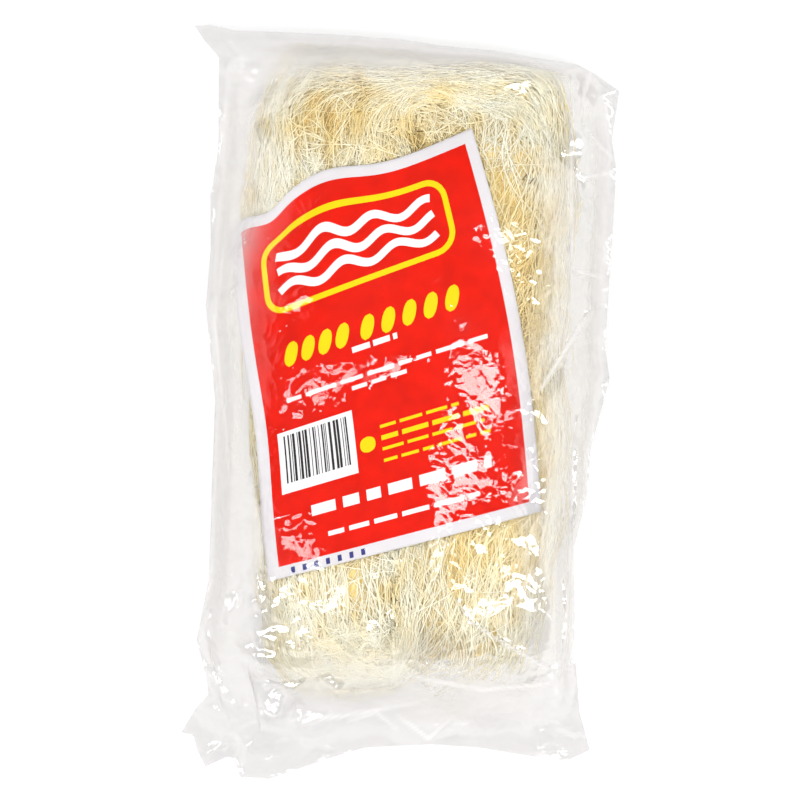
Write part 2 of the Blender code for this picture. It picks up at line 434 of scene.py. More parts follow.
def paper_material(name, colour, roughness, mottle):
    """Printed or bare paper: one ink colour, lightly mottled, over a fine fibre grain."""
    stops = [(0.35, tuple(part * (1 - mottle) for part in colour)), (0.65, colour)]
    made, tree, shader, _ = mottled_material(name, colour, roughness, (140, 6), stops)
    shader.inputs["Specular IOR Level"].default_value = 0.1
    bump_node(tree, shader, noise_node(tree, 2500, 3), 0.02, 0.3)
    return made


def speck_material():
    stops = [(0.4, (0.07, 0.03, 0.01)), (0.6, (0.22, 0.12, 0.04))]
    return mottled_material("burnt_fleck_finish", (0.12, 0.06, 0.02), 0.6, (1500, 2), stops)[0]


def floor_material():
    """A white light table with the faintest mottle."""
    stops = [(0.3, (0.34, 0.34, 0.34)), (0.7, (0.36, 0.36, 0.36))]
    made, _, shader, _ = mottled_material("floor_finish", (0.35, 0.35, 0.35), 0.9, (6, 2), stops)
    shader.inputs["Emission Color"].default_value = (1, 1, 1, 1)
    shader.inputs["Emission Strength"].default_value = FLOOR_GLOW
    return made


# Camera and light

FLOOR_HALF = 3000
FLOOR_GLOW = 0.6
SKY_HORIZON = 1.4
SKY_OVERHEAD = 0.07
HORIZON_ENDS = 0.45
OVERHEAD_STARTS = 0.65

# Lights: name, place, width, length, brightness, and whether the film mirrors it. Each faces the bag.
LIGHTS = [
    ("ceiling_light", (-260, 0, 2250), 1500, 1500, 5.9, False),
    ("near_right_softbox", (400, -100, 850), 130, 300, 17, True),
    ("far_right_softbox", (880, -250, 740), 110, 350, 12, True),
    ("left_softbox", (-560, -300, 800), 120, 350, 12, True),
]


def make_camera():
    data = bpy.data.cameras.new("camera")
    data.sensor_width = SENSOR_WIDTH
    data.lens = SENSOR_WIDTH * CAMERA_DISTANCE / VIEW_WIDTH
    made = linked_object("camera", data)
    made.location = Vector((AIM_X, AIM_Y, AIM_HEIGHT + CAMERA_DISTANCE)) * MM
    made.rotation_euler = (0, 0, math.radians(CAMERA_TURN))
    bpy.context.scene.camera = made


def make_lights():
    target = Vector((0, 0, AIM_HEIGHT)) * MM
    for name, place, width, length, brightness, mirrored in LIGHTS:
        data = bpy.data.lights.new(name, "AREA")
        data.shape = "RECTANGLE"
        data.size, data.size_y = width * MM, length * MM
        data.energy = brightness * math.pi * data.size * data.size_y
        made = linked_object(name, data)
        made.location = Vector(place) * MM
        away = made.location - target
        up = "Y" if abs(away.x) > abs(away.y) else "X"
        made.rotation_euler = away.to_track_quat("Z", up).to_euler()
        made.visible_camera = False
        made.visible_glossy = mirrored


def make_world():
    """A room that is pale all round and dim overhead, so that the film mirrors no veil over the bag."""
    world = bpy.data.worlds.new("room")
    bpy.context.scene.world = world
    world.use_nodes = True
    tree = world.node_tree
    place = new_node(tree, "ShaderNodeTexCoord").outputs["Generated"]
    split = new_node(tree, "ShaderNodeSeparateXYZ", Vector=place)
    levels = [(HORIZON_ENDS, (SKY_HORIZON,) * 3), (OVERHEAD_STARTS, (SKY_OVERHEAD,) * 3)]
    ramp_node(tree, split.outputs["Z"], levels, tree.nodes["Background"].inputs["Color"])


def make_floor():
    corners = FLOOR_HALF * np.array([(-1, -1, 0), (1, -1, 0), (1, 1, 0), (-1, 1, 0)])
    mesh = mesh_from_arrays("floor", corners, [numbered(1, 4)])
    new_object("floor", mesh, floor_material())


# The film


def edge_points(points, key, shares):
    """Points of an edge at shares of its span along coordinate number key."""
    edge = np.array(points) - OUTLINE_MIDDLE
    values = edge[0, key] + shares * (edge[-1, key] - edge[0, key])
    other = np.interp(values, edge[:, key], edge[:, 1 - key])
    return np.stack([values, other] if key == 0 else [other, values], axis=-1)


def straight_patch(u, v, corners):
    """Plan points at shares u across and v along, between the foot's two corners and the head's."""
    shares = ((1 - u) * (1 - v), u * (1 - v), (1 - u) * v, u * v)
    return sum(share * (np.array(corner) - OUTLINE_MIDDLE) for share, corner in zip(shares, corners))


def bag_plan(u, v):
    """Plan points at shares u across and v along: a Coons patch between the four edges."""
    foot, top = edge_points(FOOT_EDGE, 0, u), edge_points(TOP_EDGE, 0, u)
    left, right = edge_points(LEFT_EDGE, 1, v), edge_points(RIGHT_EDGE, 1, v)
    u, v = u[..., None], v[..., None]
    straight = straight_patch(u, v, [edge[end] for edge in (FOOT_EDGE, TOP_EDGE) for end in (0, -1)])
    return (1 - v) * foot + v * top + (1 - u) * left + u * right - straight


HAZE_NOISE = Noise(91)
TAUT_NOISE = Noise(92)


def thickness(x, y):
    """The gap between the bag's upper and under side."""
    return TOP_MAP(x, y) - UNDER_MAP(x, y)


TAUT_THICKNESS = 26
SLACK_THICKNESS = 3


def slackness(x, y):
    """0 where the film is stretched over the bundle, 1 where its two layers lie together."""
    return smooth(TAUT_THICKNESS, SLACK_THICKNESS, thickness(x, y))


def facets(x, y, size, seed):
    """A sheet creased along several wandering directions, from 0 to 1: flat facets, sharp creases."""
    random = np.random.default_rng(seed)
    total = np.zeros_like(x)
    whole = 0
    for turn in range(4):
        angle = math.pi * (turn + random.uniform(0.1, 0.9)) / 4
        length = size * random.uniform(0.8, 1.6)
        warp = Noise(seed + 10 + turn)
        waves = (x * math.cos(angle) + y * math.sin(angle)) / length
        waves = waves + random.uniform() + 1.3 * warp(x / (2.6 * size), y / (2.6 * size))
        weight = 0.35 + np.abs(Noise(seed + 20 + turn)(x / (3 * size), y / (3 * size)))
        total = total + weight * 2 * np.abs(waves - np.floor(waves + 0.5))
        whole = whole + weight
    return total / whole


# Folds of the film's upper layer: their points, height and half width.
FOLDS = [
    ([(72, 137), (69, 126), (70, 112)], 0.9, 2.5),
    ([(70, 112), (83, 101)], 0.8, 2.5),
    ([(67, 93), (75, 94.5), (83, 97)], 0.6, 2),
    ([(64, 134), (65.5, 92), (67.5, 57)], 0.5, 1.8),
    ([(68, 57), (80, 55)], 0.5, 2),
    ([(75.5, 42), (56.5, 9)], 0.5, 2),
    ([(71, -12), (72, -60), (71, -112)], 0.9, 2),
    ([(6, -119), (20, -128.5), (28.5, -120)], 0.9, 2.2),
    ([(25.5, -69.5), (34, -81), (46, -88), (62, -97), (72, -100.5)], 0.5, 2),
    ([(-12, -123), (-1, -119), (8, -126)], 1, 2.2),
    ([(-40, -124), (-14, -121), (16, -114)], 0.8, 4),
    ([(10, -103), (40, -108), (68, -104)], 0.9, 4),
    ([(-68, 70), (-71, 30), (-62, -30)], 0.8, 3.5),
]

# How far to each side of a fold's line its crease is white, and how white it is there: the film's whitening
# at the crease with a painted highlight on it.
CREASE_REACH = 1
CREASE_SHEEN = 0.55
FAR = 1e9


def beside_line(x, y, line):
    """For each piece of a line: how far along it each point's nearest place is, the gap, its length."""
    for (x0, y0), (x1, y1) in zip(line, line[1:]):
        dx, dy = x1 - x0, y1 - y0
        t = np.clip(((x - x0) * dx + (y - y0) * dy) / (dx * dx + dy * dy), 0, 1)
        yield t, np.hypot(x - x0 - t * dx, y - y0 - t * dy), math.hypot(dx, dy)


def fold_share(x, y, line, reach):
    """1 along a fold's line, falling to 0 at its reach and at its ends."""
    pieces = list(beside_line(x, y, line))
    whole = sum(length for _, _, length in pieces)
    nearest, share, start = np.full_like(x, FAR), np.zeros_like(x), 0
    for t, away, length in pieces:
        share = np.where(away < nearest, (start + t * length) / whole, share)
        nearest = np.minimum(nearest, away)
        start += length
    return np.sin(math.pi * share) ** 0.5 * np.maximum(0, 1 - nearest / reach)


def fold_relief(x, y):
    """The rise of the folds, sharp along each line."""
    return np.max([height * fold_share(x, y, line, reach) for line, height, reach in FOLDS], axis=0)


# Where the film is milky: how much, and the places along X, Y or both where that starts and is full.
RIM_HAZE_LEFT = (34, 14)
RIM_HAZE_RIGHT = (24, 8)
FOOT_HAZE = (1, -78, -122)
HEAD_HAZE = (0.85, 127, 142)
HEAD_LEFT_HAZE = (0.8, 150, 190)
LEFT_HAZE = (0.7, -44, -66)
RIGHT_HAZE = (0.6, 44, 64)
LABEL_SIDE_HAZE = (1, 9, -10)
HAZE_STRAY = 12


def haze_area(area, place):
    """The haze of an area at a place, which grows from where it starts to where it is full."""
    amount, start, full = area
    return amount * smooth(start, full, place)


def haze_and_crease_sheen(x, y):
    """0 where the clear film touches the noodles, 1 where it is milky, and up to 2 on a crease, whitened
    and carrying a painted highlight.
    """
    right = smooth(0, 40, x)
    starts, full = [a + right * (b - a) for a, b in zip(RIM_HAZE_LEFT, RIM_HAZE_RIGHT)]
    rim = smooth(starts, full, thickness(x, y))
    stray = HAZE_STRAY * HAZE_NOISE(x / 30 + 20, y / 30)
    foot = haze_area(FOOT_HAZE, y + stray)
    head_left = haze_area(HEAD_LEFT_HAZE, y - x)
    along = (y - LABEL_FOOT_LEFT[1]) / (LABEL_HEAD_LEFT[1] - LABEL_FOOT_LEFT[1])
    label_left = LABEL_FOOT_LEFT[0] + along * (LABEL_HEAD_LEFT[0] - LABEL_FOOT_LEFT[0])
    label_side = haze_area(LABEL_SIDE_HAZE, x - label_left + stray) * smooth(90, 60, y)
    label_side = label_side * smooth(0.8, 0.2, LABEL_MAP(x, y))
    head = haze_area(HEAD_HAZE, y + 0.4 * stray)
    left = haze_area(LEFT_HAZE, x + 0.6 * stray) * smooth(60, 80, y)
    flank = haze_area(RIGHT_HAZE, x + 0.4 * stray) * smooth(120, 90, y)
    milky = np.max([rim, foot, head_left, label_side, head, left, flank], axis=0)
    patchy = 0.2 * HAZE_NOISE(x / 17, y / 23) + 0.4 * (facets(x, 1.7 * y, 20, 71) - 0.5)
    milky = np.clip(milky * (1 + patchy), 0, 1)
    # Along each fold the crease is whitened, with a painted highlight on it.
    crease_sheen = np.max([fold_share(x, y, line, CREASE_REACH) for line, _, _ in FOLDS], axis=0)
    return milky + CREASE_SHEEN * (2 - milky) * crease_sheen


def film_relief(x, y, seed):
    """Creases and crumples that the film has on top of the bag's own form."""
    slack = slackness(x, y)
    crumple = 1.7 * (facets(x, y, 22, seed) - 0.5) + 0.25 * (facets(x, y, 7, seed + 40) - 0.5)
    taut = 0.9 * TAUT_NOISE(x / 28, y / 36) + 0.7
    return slack * crumple + (1 - slack) * taut


# Facets of the film that mirror a softbox: lines of discs, each a plan point and, if not thin, a radius.
GLINTS = [
    [(38, 127.5), (47.5, 126.5, 3.5)],
    [(49, 123, 1.6), (51.5, 116.5, 1), (54.5, 110.5, 1.6), (59, 104, 1.2), (65.5, 97.5, 1.6)],
    [(68.5, 109.5), (66.5, 103.5, 2.3), (63, 100, 2), (66, 95.5, 1.2)],
    [(66.5, 137), (67, 133, 1), (65, 130)], [(75.5, 41.5), (67, 29), (64.5, 21.5), (56.5, 9)],
    [(39, 21.5, 2.3), (37.5, 14, 5.1), (35.5, 5, 5.9), (36, -3.5, 3.5), (37.5, -9, 1.2)],
    [(37.5, -8.5), (42, -3.5), (47.5, 3)], [(15.5, -16), (18.5, -20.5, 2), (20, -26, 2.3)],
    [(17.5, -31, 3.1), (23.5, -34.5, 3.9), (31.5, -28, 2.7), (38.5, -26.5, 1.6)],
    [(22.5, -38.5, 3.1), (20.5, -44, 2)], [(27.5, -36, 2.7), (29, -41, 2)],
    [(20, -52, 3.1), (19, -58, 2), (18.5, -63.5)],
    [(51, -22.5), (45.5, -28), (43, -33.5, 1), (41.5, -41.5), (42, -47.5, 1), (38, -54.5)],
    [(36, -57.5), (38.5, -63.5), (33, -69), (26.5, -67.5), (24.5, -61), (28, -57), (33.5, -56)],
    [(26, -68.5), (32, -75.5), (34, -81.5, 1.2)],
    [(39.5, -75.5, 3.5), (45.5, -71.5, 3.9), (48.5, -69, 2)],
    [(55, 6, 1.2), (56.5, -9.5, 1.2), (58, -29, 1.6), (59.5, -52.5, 2), (61.5, -72, 3.1), (62, -87.5, 2)],
    [(70.5, -2.5), (72.5, -6.5), (77.5, -11.5)], [(72, -12.5), (72.5, -40), (74, -63.5), (74.5, -87)],
    [(69, -39.5), (65, -46.5, 1), (67, -51)], [(69, -63.5, 1.2), (70.5, -79, 1.6), (70, -89, 1.2)],
    [(-61.5, -77.5, 1), (-58, -77, 1.2)],
    [(-53, -78.5), (-48, -76.5, 2.3), (-43, -79.5, 2), (-35.5, -83, 1.6), (-31, -87, 2), (-29, -90.5, 1.6)],
    [(-42.5, -69.5), (-37.5, -72.5), (-32, -76.5), (-26.5, -76, 2)],
    [(-19.5, -74.5, 4.3), (-17.5, -77.5, 2.7)], [(1, -80.5, 1.2), (3, -78.5, 1.2)],
    [(-3, -82.5, 1.4), (-5, -85.5, 1.2)], [(-52.5, -86.5), (-44.5, -88), (-37, -87, 1.2)],
    [(-51.5, -88), (-42.5, -91), (-35.5, -93.5, 1.2), (-31.5, -94.5)],
    [(-67.5, -82.5), (-69, -87.5, 1.6), (-66.5, -90.5, 1.6), (-60, -88.5, 1.2), (-55, -88.5, 1.2)],
    [(-70, -101.5), (-62.5, -110), (-55.5, -119.5)], [(-64.5, -119.5), (-59.5, -123)],
    [(-44.5, -108), (-34, -110), (-31, -107)], [(-40.5, -113, 2), (-41.5, -118, 3.1)],
    [(-32, -118), (-29.5, -122, 2.7), (-22, -121)], [(-21.5, -104.5), (-16.5, -109.5)],
    [(-41.5, 37, 2), (-36, 40, 2.3)], [(-41.5, -4.5), (-33.5, 8), (-24, 15.5), (-15, 16.5)],
    [(-33.5, -0.5), (-28, 4.5), (-13, 12)], [(4, 20, 1.2), (-1, 17, 2.7), (-4.5, 12.5, 1.6)],
]
THIN_GLINT = 0.8
GLINT_EDGE = 0.6
GLINT_ROUNDS = 24
GLINT_PUSH = 1.5
GLINT_REACH = 10
CLOSEST_FILM = 0.9
SLACK_DROP = 6


def glint_share(x, y, discs):
    """1 inside a shape swept by discs along a line, and 0 outside it."""
    radii = [disc[2] if len(disc) > 2 else THIN_GLINT for disc in discs]
    pieces = beside_line(x, y, [disc[:2] for disc in discs])
    away = np.full_like(x, FAR)
    for (t, gap, _), radius0, radius1 in zip(pieces, radii, radii[1:]):
        away = np.minimum(away, gap - (radius0 + t * (radius1 - radius0)))
    return smooth(GLINT_EDGE, -GLINT_EDGE, away)


def slopes(x, y, z):
    """The slopes of a height by x and by y, over a warped grid of plan points."""
    x_along, x_across = np.gradient(x)
    y_along, y_across = np.gradient(y)
    z_along, z_across = np.gradient(z)
    area = x_across * y_along - x_along * y_across
    by_x = z_across * y_along - z_along * y_across
    by_y = z_along * x_across - z_across * x_along
    return np.array([by_x, by_y]) / area


def mirror_slopes(x, y, z, place):
    """The slopes at which the film, seen from straight above, mirrors a light."""
    dx, dy, dz = place[0] - x, place[1] - y, place[2] - z
    return -np.array([dx, dy]) / (dz + np.sqrt(dx**2 + dy**2 + dz**2))


def wanted_slopes(x, y, z):
    """How much of each point is glint, and its slopes there, which mirror the softbox easiest to reach."""
    share = np.zeros_like(x)
    wanted = lie = slopes(x, y, z)
    boxes = [mirror_slopes(x, y, z, place) for _, place, _, _, _, mirrored in LIGHTS if mirrored]
    for discs in GLINTS:
        own = glint_share(x, y, discs)
        misses = [(own * np.hypot(*(box - lie))).sum() for box in boxes]
        wanted = np.where(own > share, boxes[np.argmin(misses)], wanted)
        share = np.maximum(share, own)
    return share, wanted


def tilted_to_glints(x, y, z, freedom, lowest):
    """Heights whose facets mirror the softboxes, with the film round them giving way the least."""
    share, wanted = wanted_slopes(x, y, z)
    x_along, x_across = np.gradient(x)
    y_along, y_across = np.gradient(y)
    shape = [2 ** math.ceil(math.log2(size * 1.1)) for size in x.shape]
    wave_along = 2 * math.pi * np.fft.fftfreq(shape[0])[:, None]
    wave_across = 2 * math.pi * np.fft.rfftfreq(shape[1])[None, :]
    stiffness = wave_along**2 + wave_across**2 + GLINT_REACH**-2
    for _ in range(GLINT_ROUNDS):
        miss_x, miss_y = share * (wanted - slopes(x, y, z))
        along = np.fft.rfft2(miss_x * x_along + miss_y * y_along, s=shape)
        across = np.fft.rfft2(miss_x * x_across + miss_y * y_across, s=shape)
        change = np.fft.irfft2(-1j * (wave_along * along + wave_across * across) / stiffness, s=shape)
        z = np.maximum(z + GLINT_PUSH * freedom * change[: x.shape[0], : x.shape[1]], lowest)
    return z


def mark_sharp(mesh, chosen):
    """Keeps the edges between chosen points sharp, so that the shading doesn't round them over."""
    ends = np.zeros(len(mesh.edges) * 2, np.int32)
    mesh.edges.foreach_get("vertices", ends)
    sharp = mesh.attributes.new("sharp_edge", "BOOLEAN", "EDGE")
    sharp.data.foreach_set("value", chosen[ends.reshape(-1, 2)].all(axis=1))


def make_film():
    """Both layers of the bag's film, one grid each, joined at the rim."""
    u, v = np.meshgrid(np.linspace(0, 1, FILM_COLUMNS + 1), np.linspace(0, 1, FILM_ROWS + 1))
    plan = bag_plan(u, v)
    x, y = plan[..., 0], plan[..., 1]
    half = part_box("noodle_bag")[1]
    from_rim = np.minimum(np.minimum(u, 1 - u) * half.x, np.minimum(v, 1 - v) * half.y) * 2 / MM
    open_share = smooth(0, RIM_WIDTH, from_rim)
    top, under = TOP_MAP(x, y), UNDER_MAP(x, y)
    middle = (top + under) / 2
    upper = top + film_relief(x, y, 3) + fold_relief(x, y)
    lower = under + slackness(x, y) * film_relief(x, y, 7)
    lower = np.maximum(FLOOR_GAP, np.minimum(lower, upper - LAYER_GAP))
    rim = np.maximum(middle, FLOOR_GAP)
    upper = rim + (upper - rim) * open_share
    lower = rim + (lower - rim) * open_share
    lowest = np.maximum(lower, top - CLOSEST_FILM - SLACK_DROP * slackness(x, y))
    upper = tilted_to_glints(x, y, upper, open_share, np.minimum(lowest, upper))
    inner = (slice(1, -1), slice(1, -1))
    above, below = numbered(*x.shape), numbered(*x.shape)
    below[inner] = x.size + numbered(*x[inner].shape)
    points = np.concatenate([point_rows(x, y, upper), point_rows(x[inner], y[inner], lower[inner])])
    mesh = mesh_from_arrays("bag_film", points, [quads_between(above), quads_between(below)[:, ::-1]])
    mark_sharp(mesh, np.isin(np.arange(len(points)), above[above == below]))
    set_point_values(mesh, "haze", haze_and_crease_sheen(points[:, 0], points[:, 1]))
    film = new_object("bag_film", mesh, film_material())
    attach(film, "root")
    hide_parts("noodle_bag")


# The bundle


RIM_TRIES = 8
RIM_STEP = 0.985
CLEAR_OF_RIM = 0.86

OUTLINE_NOISE = Noise(42)
HOLLOW_NOISE = Noise(41)
AMBER_NOISE = Noise(43)


def half_width(x, y):
    """The bundle's half width, which is less on its left side towards the foot."""
    return BUNDLE_HALF_WIDTH - np.where(x < BUNDLE_X, LEFT_NARROWING * smooth(70, -60, y), 0)


def on_outline(turns, reach):
    """Plan points at turns round the bundle, at a share of the way out to its outline."""
    ways = (np.cos(turns), np.sin(turns))
    across, along = [np.sign(way) * np.abs(way) ** (2 / PLAN_POWER) for way in ways]
    y = BUNDLE_Y + reach * along * BUNDLE_HALF_LENGTH
    return BUNDLE_X + reach * across * half_width(BUNDLE_X + across, y), y


def plan_level(x, y):
    """0 at the bundle's middle and 1 on its outline in plan, a rounded rectangle with a wavering edge."""
    across = np.abs(x - BUNDLE_X) / half_width(x, y)
    along = np.abs(y - BUNDLE_Y) / BUNDLE_HALF_LENGTH
    waver = 1 + 0.06 * OUTLINE_NOISE(x / 24, y / 24)
    return (across**PLAN_POWER + along**PLAN_POWER) ** (1 / PLAN_POWER) / waver


def hollow(x, y):
    """How much deeper the upper noodles lie in places, most of all in the tangle left of the head."""
    dip = smooth(0.02, 0.34, HOLLOW_NOISE(x / 11, y / 17))
    tangle = smooth(25, -5, x) * smooth(60, 85, y)
    return dip * (1.6 + 2.2 * tangle) + LABEL_SINK * LABEL_MAP(x, y)


def amber(x, y):
    """How amber the noodles look: in patches all over, and more so at the head and down the right side."""
    right = smooth(5, 35, x) * smooth(-90, -40, y) * smooth(100, 75, y)
    head = smooth(90, 110, y) * smooth(35, 10, x)
    patches = smooth(0, 0.35, AMBER_NOISE(x / 8, y / 13))
    return (patches + 2 * right + 1.3 * head) * smooth(1, 0.8, plan_level(x, y))


def between_films(x, y, z, spare=0.9):
    """Heights kept inside the film by a spare gap, or midway between its layers where they lie close."""
    top, under = TOP_MAP(x, y), UNDER_MAP(x, y)
    room = np.maximum(0, (top - under) / 2 - spare - 1.3 * slackness(x, y))
    middle = (top + under) / 2
    return middle + np.clip(z - middle, -room, room)


def drawn_in(x, y, share):
    """Plan points moved towards the bundle's middle."""
    return BUNDLE_X + (x - BUNDLE_X) * share, BUNDLE_Y + (y - BUNDLE_Y) * share


def kept_inside(x, y, limit):
    """Plan points drawn in where they pass a share of the bundle's outline or come near the bag's rim."""
    x, y = drawn_in(x, y, np.minimum(1, limit / np.maximum(plan_level(x, y), 1e-6)))
    for _ in range(RIM_TRIES):
        x, y = drawn_in(x, y, np.where(INSIDE_MAP(x, y) < CLEAR_OF_RIM, RIM_STEP, 1))
    return x, y


def laid_height(x, y, depth, over):
    """The height of a point in the bundle at a depth under its upper or its under side."""
    rounding = np.maximum(0, 1 - plan_level(x, y) ** PLAN_POWER) ** (1 / EDGE_POWER)
    if over:
        level = TOP_MAP(x, y) - ROOM_ABOVE - depth - hollow(x, y)
    else:
        level = UNDER_MAP(x, y) + ROOM_BELOW + depth
    return BUNDLE_MIDDLE + (level - BUNDLE_MIDDLE) * rounding


def flow_angle(x, y):
    """The lie of the noodles: lengthwise, turning across at the head and the foot."""
    dx, dy = x - BUNDLE_X, y - BUNDLE_Y
    inner = smooth(60, 40, np.abs(dx))
    head = smooth(88, 116, dy) * inner
    foot = 0.4 * smooth(-104, -122, dy) * inner
    side = np.where(dx > 0, 1, -1)
    angle = side * (math.pi / 2) * (1 + head - foot)
    lean = -0.45 * smooth(-30, 40, dx) * smooth(-90, -40, dy) * (1 - head)
    return angle + lean * smooth(0.95, 0.7, plan_level(x, y))


# How a strand's turn, depth and limit wander, over waves of these lengths, and the depth that amber adds to
# its painted depth shade.
TURN_LENGTH = 34
DEPTH_WANDER = 2.4
DEPTH_LENGTH = 28
LIMIT_WANDER = 0.07
LIMIT_LENGTH = 22
AMBER_DEPTH = 2.4


def strand_paths(random, starts, angles, lengths, steps, wander, bend, depths, over, limit):
    """Follows the flow from each start. Returns points, by strand and step, and how deep each lies, with
    its amber patches added, for its painted depth shade.
    """
    count = len(starts)
    x, y = starts.T
    turn_noise, depth_noise = Noise(random.integers(1e6)), Noise(random.integers(1e6))
    key = random.uniform(0, 60, count)
    paths = np.zeros((count, steps, 3))
    shade_depth = np.zeros((count, steps))
    stride = lengths / (steps - 1)
    limits = random.uniform(*limit, count)
    curl = random.normal(0, 1, count) * bend
    for k in range(steps):
        way = k * stride
        x, y = kept_inside(x, y, limits * (1 + LIMIT_WANDER * turn_noise(way / LIMIT_LENGTH, key + 0.5)))
        depth = np.maximum(0, depths + DEPTH_WANDER * depth_noise(way / DEPTH_LENGTH, key))
        paths[:, k] = np.stack([x, y, between_films(x, y, laid_height(x, y, depth, over))], axis=1)
        # Painted shade: the deeper a point lies, the more amber its tone will be.
        shade_depth[:, k] = depth + (hollow(x, y) if over else 0) + AMBER_DEPTH * amber(x, y)
        steer = 1 - 0.6 * smooth(0.75, 1, plan_level(x, y))
        stray = angles + wander * turn_noise(way / TURN_LENGTH, key) + curl * way
        angle = flow_angle(x, y) + steer * stray
        x = x + stride * np.cos(angle)
        y = y + stride * np.sin(angle)
    return paths, shade_depth


def add_to_bundle(name, mesh, finish):
    made = new_object(name, mesh, finish)
    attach(made, "root")
    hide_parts("noodle_bag")


# Shares of X, Y and Z in the direction away from the bundle's middle, which a tube's corners follow.
OUTWARD = (0.5, 0.25, 1)


def tubes(name, paths, radii, tones, sides, finish):
    """Closed tubes along paths, one for each strand, with a tone for each of its steps."""
    tangent = unit(np.gradient(paths, axis=1))
    side = unit(np.cross((paths - (BUNDLE_X, BUNDLE_Y, BUNDLE_MIDDLE)) * OUTWARD, tangent))
    rise = np.cross(tangent, side)
    turns = np.arange(sides) * 2 * math.pi / sides
    ring = side[:, :, None, :] * np.cos(turns)[:, None] + rise[:, :, None, :] * np.sin(turns)[:, None]
    points = paths[:, :, None, :] + ring * radii[:, None, None, None]
    number = numbered(*points.shape[:3])
    faces = [quads_between(joined(number)), number[:, 0, ::-1], number[:, -1]]
    mesh = mesh_from_arrays(name, points.reshape(-1, 3), faces)
    set_point_values(mesh, "tone", np.repeat(tones.ravel(), sides))
    add_to_bundle(name, mesh, finish)


LOCK = 7
LOCK_SPREAD = (1.9, 11)


def starts_in(random, count, area):
    """Random plan points in a box, in locks of a few strands side by side."""
    locks = -(-count // LOCK)
    middle = np.stack([random.uniform(*span, locks) for span in area], axis=1)
    spread = random.normal(0, 1, (locks, LOCK, 2)) * LOCK_SPREAD
    return (middle[:, None, :] + spread).reshape(-1, 2)[:count]


def starts_round(random, count):
    """Random plan points near the bundle's outline."""
    turns = random.uniform(0, 2 * math.pi, count)
    reach = random.uniform(0.95, 1.04, count)
    return np.stack(on_outline(turns, reach), axis=1)


def shared(random, count, spread, own):
    """Random values that the strands of a lock nearly share."""
    locks = -(-count // LOCK)
    values = random.normal(0, spread, locks)[:, None] + random.normal(0, own, (locks, LOCK))
    return values.reshape(-1)[:count]


# Families of strands: name, seed, count, x and y range, or None for the outline, length range, steps,
# lean, wander, bend, depth range, whether over or under, and limit range.
BODY = ((-60, 67), (-108, 140))
HEAD = ((-50, 58), (112, 141))
FOOT = ((-50, 58), (-110, -84))
TANGLE = ((-60, 12), (68, 126))
FAMILIES = [
    ("noodles_long_top", 11, 620, BODY, (120, 210), 40, 0.12, 0.9, 0, (0.4, 3.4), True, (0.82, 1)),
    ("noodles_cross_top", 12, 860, BODY, (50, 120), 28, 0.45, 1.3, 0.005, (0, 2.4), True, (0.8, 1)),
    ("noodles_fine_top", 13, 1000, BODY, (25, 60), 18, 0.8, 1.6, 0.02, (0, 1.6), True, (0.8, 1)),
    ("noodles_head", 14, 240, HEAD, (60, 120), 28, 0.3, 1, 0.003, (0, 3.5), True, (0.92, 1.05)),
    ("noodles_foot", 15, 380, FOOT, (40, 90), 22, 0.5, 1.4, 0.008, (0, 3), True, (0.88, 1.03)),
    ("noodles_tangle", 16, 620, TANGLE, (25, 80), 28, 1.5, 2, 0.09, (0, 5), True, (0.8, 0.98)),
    ("noodles_stray", 18, 160, None, (30, 110), 28, 0.5, 1.8, 0.02, (0, 4), True, (0.96, 1.03)),
    ("noodles_under", 17, 330, BODY, (110, 200), 32, 0.16, 0.9, 0, (0, 2.5), False, (0.82, 1)),
]
STRAND_SIDES = 3
STRAND_RADII = (0.18, 0.28)

# The tone of a strand on top, from 0, amber, to 1, white, and its loss for each millimetre down, a painted
# shade for the light filtered through the strands above.
STRAND_TONE = 0.80
PAINTED_DEPTH_SHADE = 0.13


def make_family(finish, name, seed, count, area, lengths, steps, lean, wander, bend, depths, over, limit):
    random = np.random.default_rng(seed)
    starts = starts_in(random, count, area) if area else starts_round(random, count)
    angles = shared(random, count, lean, lean * 0.35)
    spans = random.uniform(*lengths, count)
    deep = random.uniform(*depths, count)
    paths, shade_depth = strand_paths(random, starts, angles, spans, steps, wander, bend, deep, over, limit)
    radii = random.uniform(*STRAND_RADII, count)
    # Painted depth shade: deeper points get a more amber tone.
    tones = STRAND_TONE + shared(random, count, 0.07, 0.05)[:, None] - PAINTED_DEPTH_SHADE * shade_depth
    tubes(name, paths, radii, np.clip(tones, 0, 1), STRAND_SIDES, finish)


CORE_DEPTH = 2.8
CORE_REACH = 0.90
CORE_RIM_DEPTH = 2
CORE_LUMP = 2
CORE_RINGS = 40
CORE_SPOKES = 160


def make_core():
    """The depth of the bundle: a closed pillow under the strands, with lengthwise furrows."""
    turns = np.arange(CORE_SPOKES) * 2 * math.pi / CORE_SPOKES
    shares = np.sin(np.linspace(0.02, 1, CORE_RINGS) * math.pi / 2) * CORE_REACH
    x, y = on_outline(turns[None, :], shares[:, None])
    lump = Noise(31)(x / 9, y / 22) * CORE_LUMP
    fall = np.clip(1 - shares[:, None] ** 6, 0, 1)
    depth = CORE_DEPTH + lump * fall + CORE_RIM_DEPTH * (1 - fall)
    sides = [between_films(x, y, laid_height(x, y, depth, over), CORE_DEPTH) for over in (True, False)]
    middle = (sides[0][-1] + sides[1][-1]) / 2
    upper, lower = [np.stack([x, y, np.vstack([side[:-1], middle])], axis=-1) for side in sides]
    rings = np.concatenate([upper, lower[-2::-1]])
    number = numbered(*rings.shape[:2])
    faces = [quads_between(joined(number).T), number[:1], number[-1:, ::-1]]
    mesh = mesh_from_arrays("bundle_core", rings.reshape(-1, 3), faces)
    add_to_bundle("bundle_core", mesh, core_material())


# The label


LABEL_CORNERS = (LABEL_FOOT_LEFT, LABEL_FOOT_RIGHT, LABEL_HEAD_LEFT, LABEL_HEAD_RIGHT)


